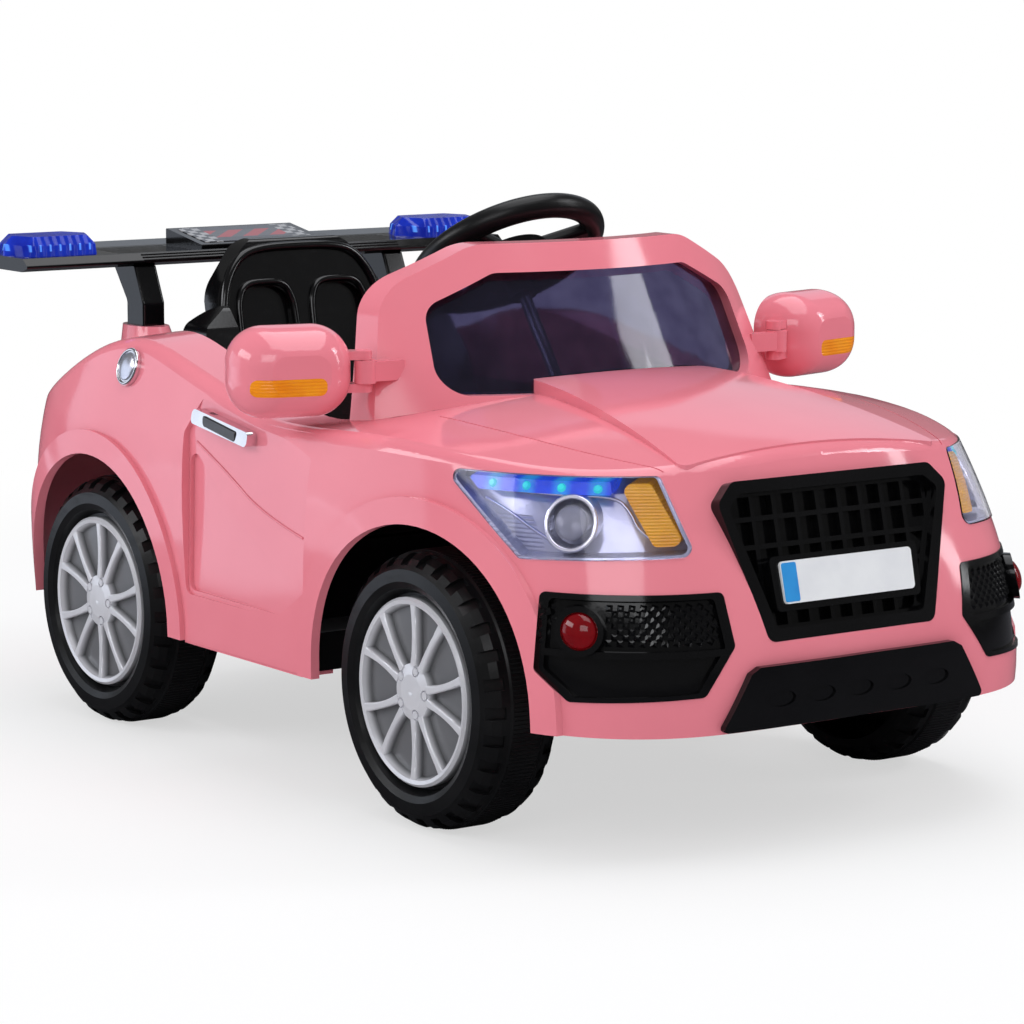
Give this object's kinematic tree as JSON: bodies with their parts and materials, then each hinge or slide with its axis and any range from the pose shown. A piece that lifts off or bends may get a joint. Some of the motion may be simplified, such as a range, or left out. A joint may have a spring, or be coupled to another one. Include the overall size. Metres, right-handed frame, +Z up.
{
  "type": "ride-on toy car",
  "caption": "Battery ride-on car for a child: open cockpit shell on a chassis tub, linked front steering, geared rear wheels, folding mirrors, lamps and rear wing.",
  "frame": {"origin": "on the ground, under the middle of the overall box", "axes": "+X to the nose, +Y to the car's left, +Z up"},
  "size_m": [1.0899, 0.7232, 0.5467],
  "materials": {
    "pink_body": "glossy moulded, pink",
    "pink_frame": "glossy moulded, pink",
    "pink_mirror": "glossy moulded, pink",
    "black_gloss": "glossy moulded, black",
    "black_satin": "satin moulded, black",
    "black_seat": "glossy moulded, black",
    "black_wheel": "moulded plastic tyre, black",
    "silver_cap": "silver lacquer",
    "silver_lamp": "silver reflector",
    "clear_lens": "clear, faint violet",
    "bulb_clear": "clear",
    "smoked_screen": "smoked violet",
    "amber_lens": "amber",
    "red_lens": "red",
    "blue_strip": "blue strip",
    "blue_beacon": "blue translucent",
    "white_plate": "white plate",
    "chrome_trim": "bright plated",
    "mirror_face": "silvered",
    "sign_face": "framed panel",
    "steel_rod": "plain steel rod",
    "gear_case": "moulded case",
    "motor_can": "zinc plated can",
    "battery_case": "grey case",
    "control_case": "black case",
    "cable_cover": "flexible cover",
    "red_button": "red",
    "horn_cover": "black",
    "screw_steel": "zinc plated"
  },
  "bodies": {
    "car_body": {"battery": "battery_case", "beacons": "blue_beacon", "body_shell": "pink_body", "charge_socket": "chrome_trim", "chassis_tub": "black_satin", "column_bush": "black_satin", "control_box": "control_case", "dashboard": "black_satin", "door_handles": "chrome_trim", "drive_motors": "motor_can", "fog_lenses": "red_lens", "fog_panel_left": "black_gloss", "fog_panel_right": "black_gloss", "front_beam": "steel_rod", "front_indicators": "amber_lens", "fuel_cap": "chrome_trim", "gearboxes": "gear_case", "grille": "black_gloss", "headlamp_bulbs": "bulb_clear", "headlamp_housing_left": "silver_lamp", "headlamp_housing_right": "silver_lamp", "headlamp_lens_left": "clear_lens", "headlamp_lens_right": "clear_lens", "led_strips": "blue_strip", "number_plate": "white_plate", "pedal_base": "black_satin", "rear_axle": "steel_rod", "seat": "black_seat", "sign_box": "sign_face", "sill_screws": "screw_steel", "skid_plate": "black_gloss", "spoiler_posts": "black_gloss", "spoiler_wing": "black_gloss", "tail_lamps": "red_lens", "windscreen": "smoked_screen", "windscreen_frame": "pink_frame", "wiring": "cable_cover"},
    "steering": {"steering_wheel": "black_satin", "steering_column": "steel_rod"},
    "horn": {"horn_button": "horn_cover"},
    "tie_rod": {"tie_rod": "steel_rod"},
    "pedal": {"accelerator_pedal": "black_satin"},
    "power_button": {"power_button": "red_button"},
    "direction_switch": {"direction_switch": "black_gloss"},
    "knuckle_right": {"knuckle_right": "steel_rod"},
    "mirror_right": {"mirror_housing_right": "pink_mirror", "mirror_glass_right": "mirror_face", "mirror_indicator_right": "amber_lens"},
    "wheel_front_right": {"wheel_front_right": "black_wheel", "hubcap_front_right": "silver_cap"},
    "wheel_rear_right": {"wheel_rear_right": "black_wheel", "hubcap_rear_right": "silver_cap"},
    "knuckle_left": {"knuckle_left": "steel_rod"},
    "mirror_left": {"mirror_housing_left": "pink_mirror", "mirror_glass_left": "mirror_face", "mirror_indicator_left": "amber_lens"},
    "wheel_front_left": {"wheel_front_left": "black_wheel", "hubcap_front_left": "silver_cap"},
    "wheel_rear_left": {"wheel_rear_left": "black_wheel", "hubcap_rear_left": "silver_cap"}
  },
  "joints": [
    {"name": "steering_turn", "type": "hinge", "parent": "car_body", "child": "steering", "pos_m": [0.013, 0, 0.483], "axis": [-0.5878, 0, 0.809], "range_deg": [-36, 36]},
    {"name": "horn_press", "type": "slide", "parent": "steering", "child": "horn", "axis": [0.5878, 0, -0.809], "range_m": [0, 0.003], "stiffness_N_per_m": 1200, "springref_m": -0.001},
    {"name": "tie_rod_shift", "type": "slide", "parent": "car_body", "child": "tie_rod", "axis": [0, 1, 0], "range_m": [-0.017, 0.017]},
    {"name": "pedal_press", "type": "hinge", "parent": "car_body", "child": "pedal", "pos_m": [0.066, -0.082, 0.131], "axis": [0, 1, 0], "range_deg": [0, 12], "stiffness_Nm_per_rad": 6, "springref_deg": -5.73},
    {"name": "power_press", "type": "slide", "parent": "car_body", "child": "power_button", "axis": [0.5062, 0, -0.8624], "range_m": [0, 0.003], "stiffness_N_per_m": 900, "springref_m": -0.001},
    {"name": "direction_rock", "type": "hinge", "parent": "car_body", "child": "direction_switch", "pos_m": [0.12877, -0.096, 0.32848], "axis": [0, 1, 0], "range_deg": [-8, 8]},
    {"name": "knuckle_right_turn", "type": "hinge", "parent": "car_body", "child": "knuckle_right", "pos_m": [0.273, -0.192, 0.125], "axis": [0, 0, 1], "range_deg": [-18.1, 18.1]},
    {"name": "wheel_front_right_spin", "type": "hinge", "parent": "knuckle_right", "child": "wheel_front_right", "pos_m": [0.273, -0.25, 0.125], "axis": [0, 1, 0], "continuous": true},
    {"name": "wheel_rear_right_spin", "type": "hinge", "parent": "car_body", "child": "wheel_rear_right", "pos_m": [-0.293, -0.25, 0.125], "axis": [0, 1, 0], "continuous": true},
    {"name": "mirror_right_fold", "type": "hinge", "parent": "car_body", "child": "mirror_right", "pos_m": [0.131, -0.243, 0.395], "axis": [0, 0, -1], "range_deg": [-40, 24]},
    {"name": "knuckle_left_turn", "type": "hinge", "parent": "car_body", "child": "knuckle_left", "pos_m": [0.273, 0.192, 0.125], "axis": [0, 0, 1], "range_deg": [-18.1, 18.1]},
    {"name": "wheel_front_left_spin", "type": "hinge", "parent": "knuckle_left", "child": "wheel_front_left", "pos_m": [0.273, 0.25, 0.125], "axis": [0, 1, 0], "continuous": true},
    {"name": "wheel_rear_left_spin", "type": "hinge", "parent": "car_body", "child": "wheel_rear_left", "pos_m": [-0.293, 0.25, 0.125], "axis": [0, 1, 0], "continuous": true},
    {"name": "mirror_left_fold", "type": "hinge", "parent": "car_body", "child": "mirror_left", "pos_m": [0.131, 0.243, 0.395], "axis": [0, 0, 1], "range_deg": [-40, 24]}
  ],
  "couplings": [
    {"joint": "knuckle_right_turn", "follows": "steering_turn", "ratio": 0.5},
    {"joint": "knuckle_left_turn", "follows": "steering_turn", "ratio": 0.5},
    {"joint": "tie_rod_shift", "follows": "steering_turn", "m_per_rad": 0.024591}
  ]
}
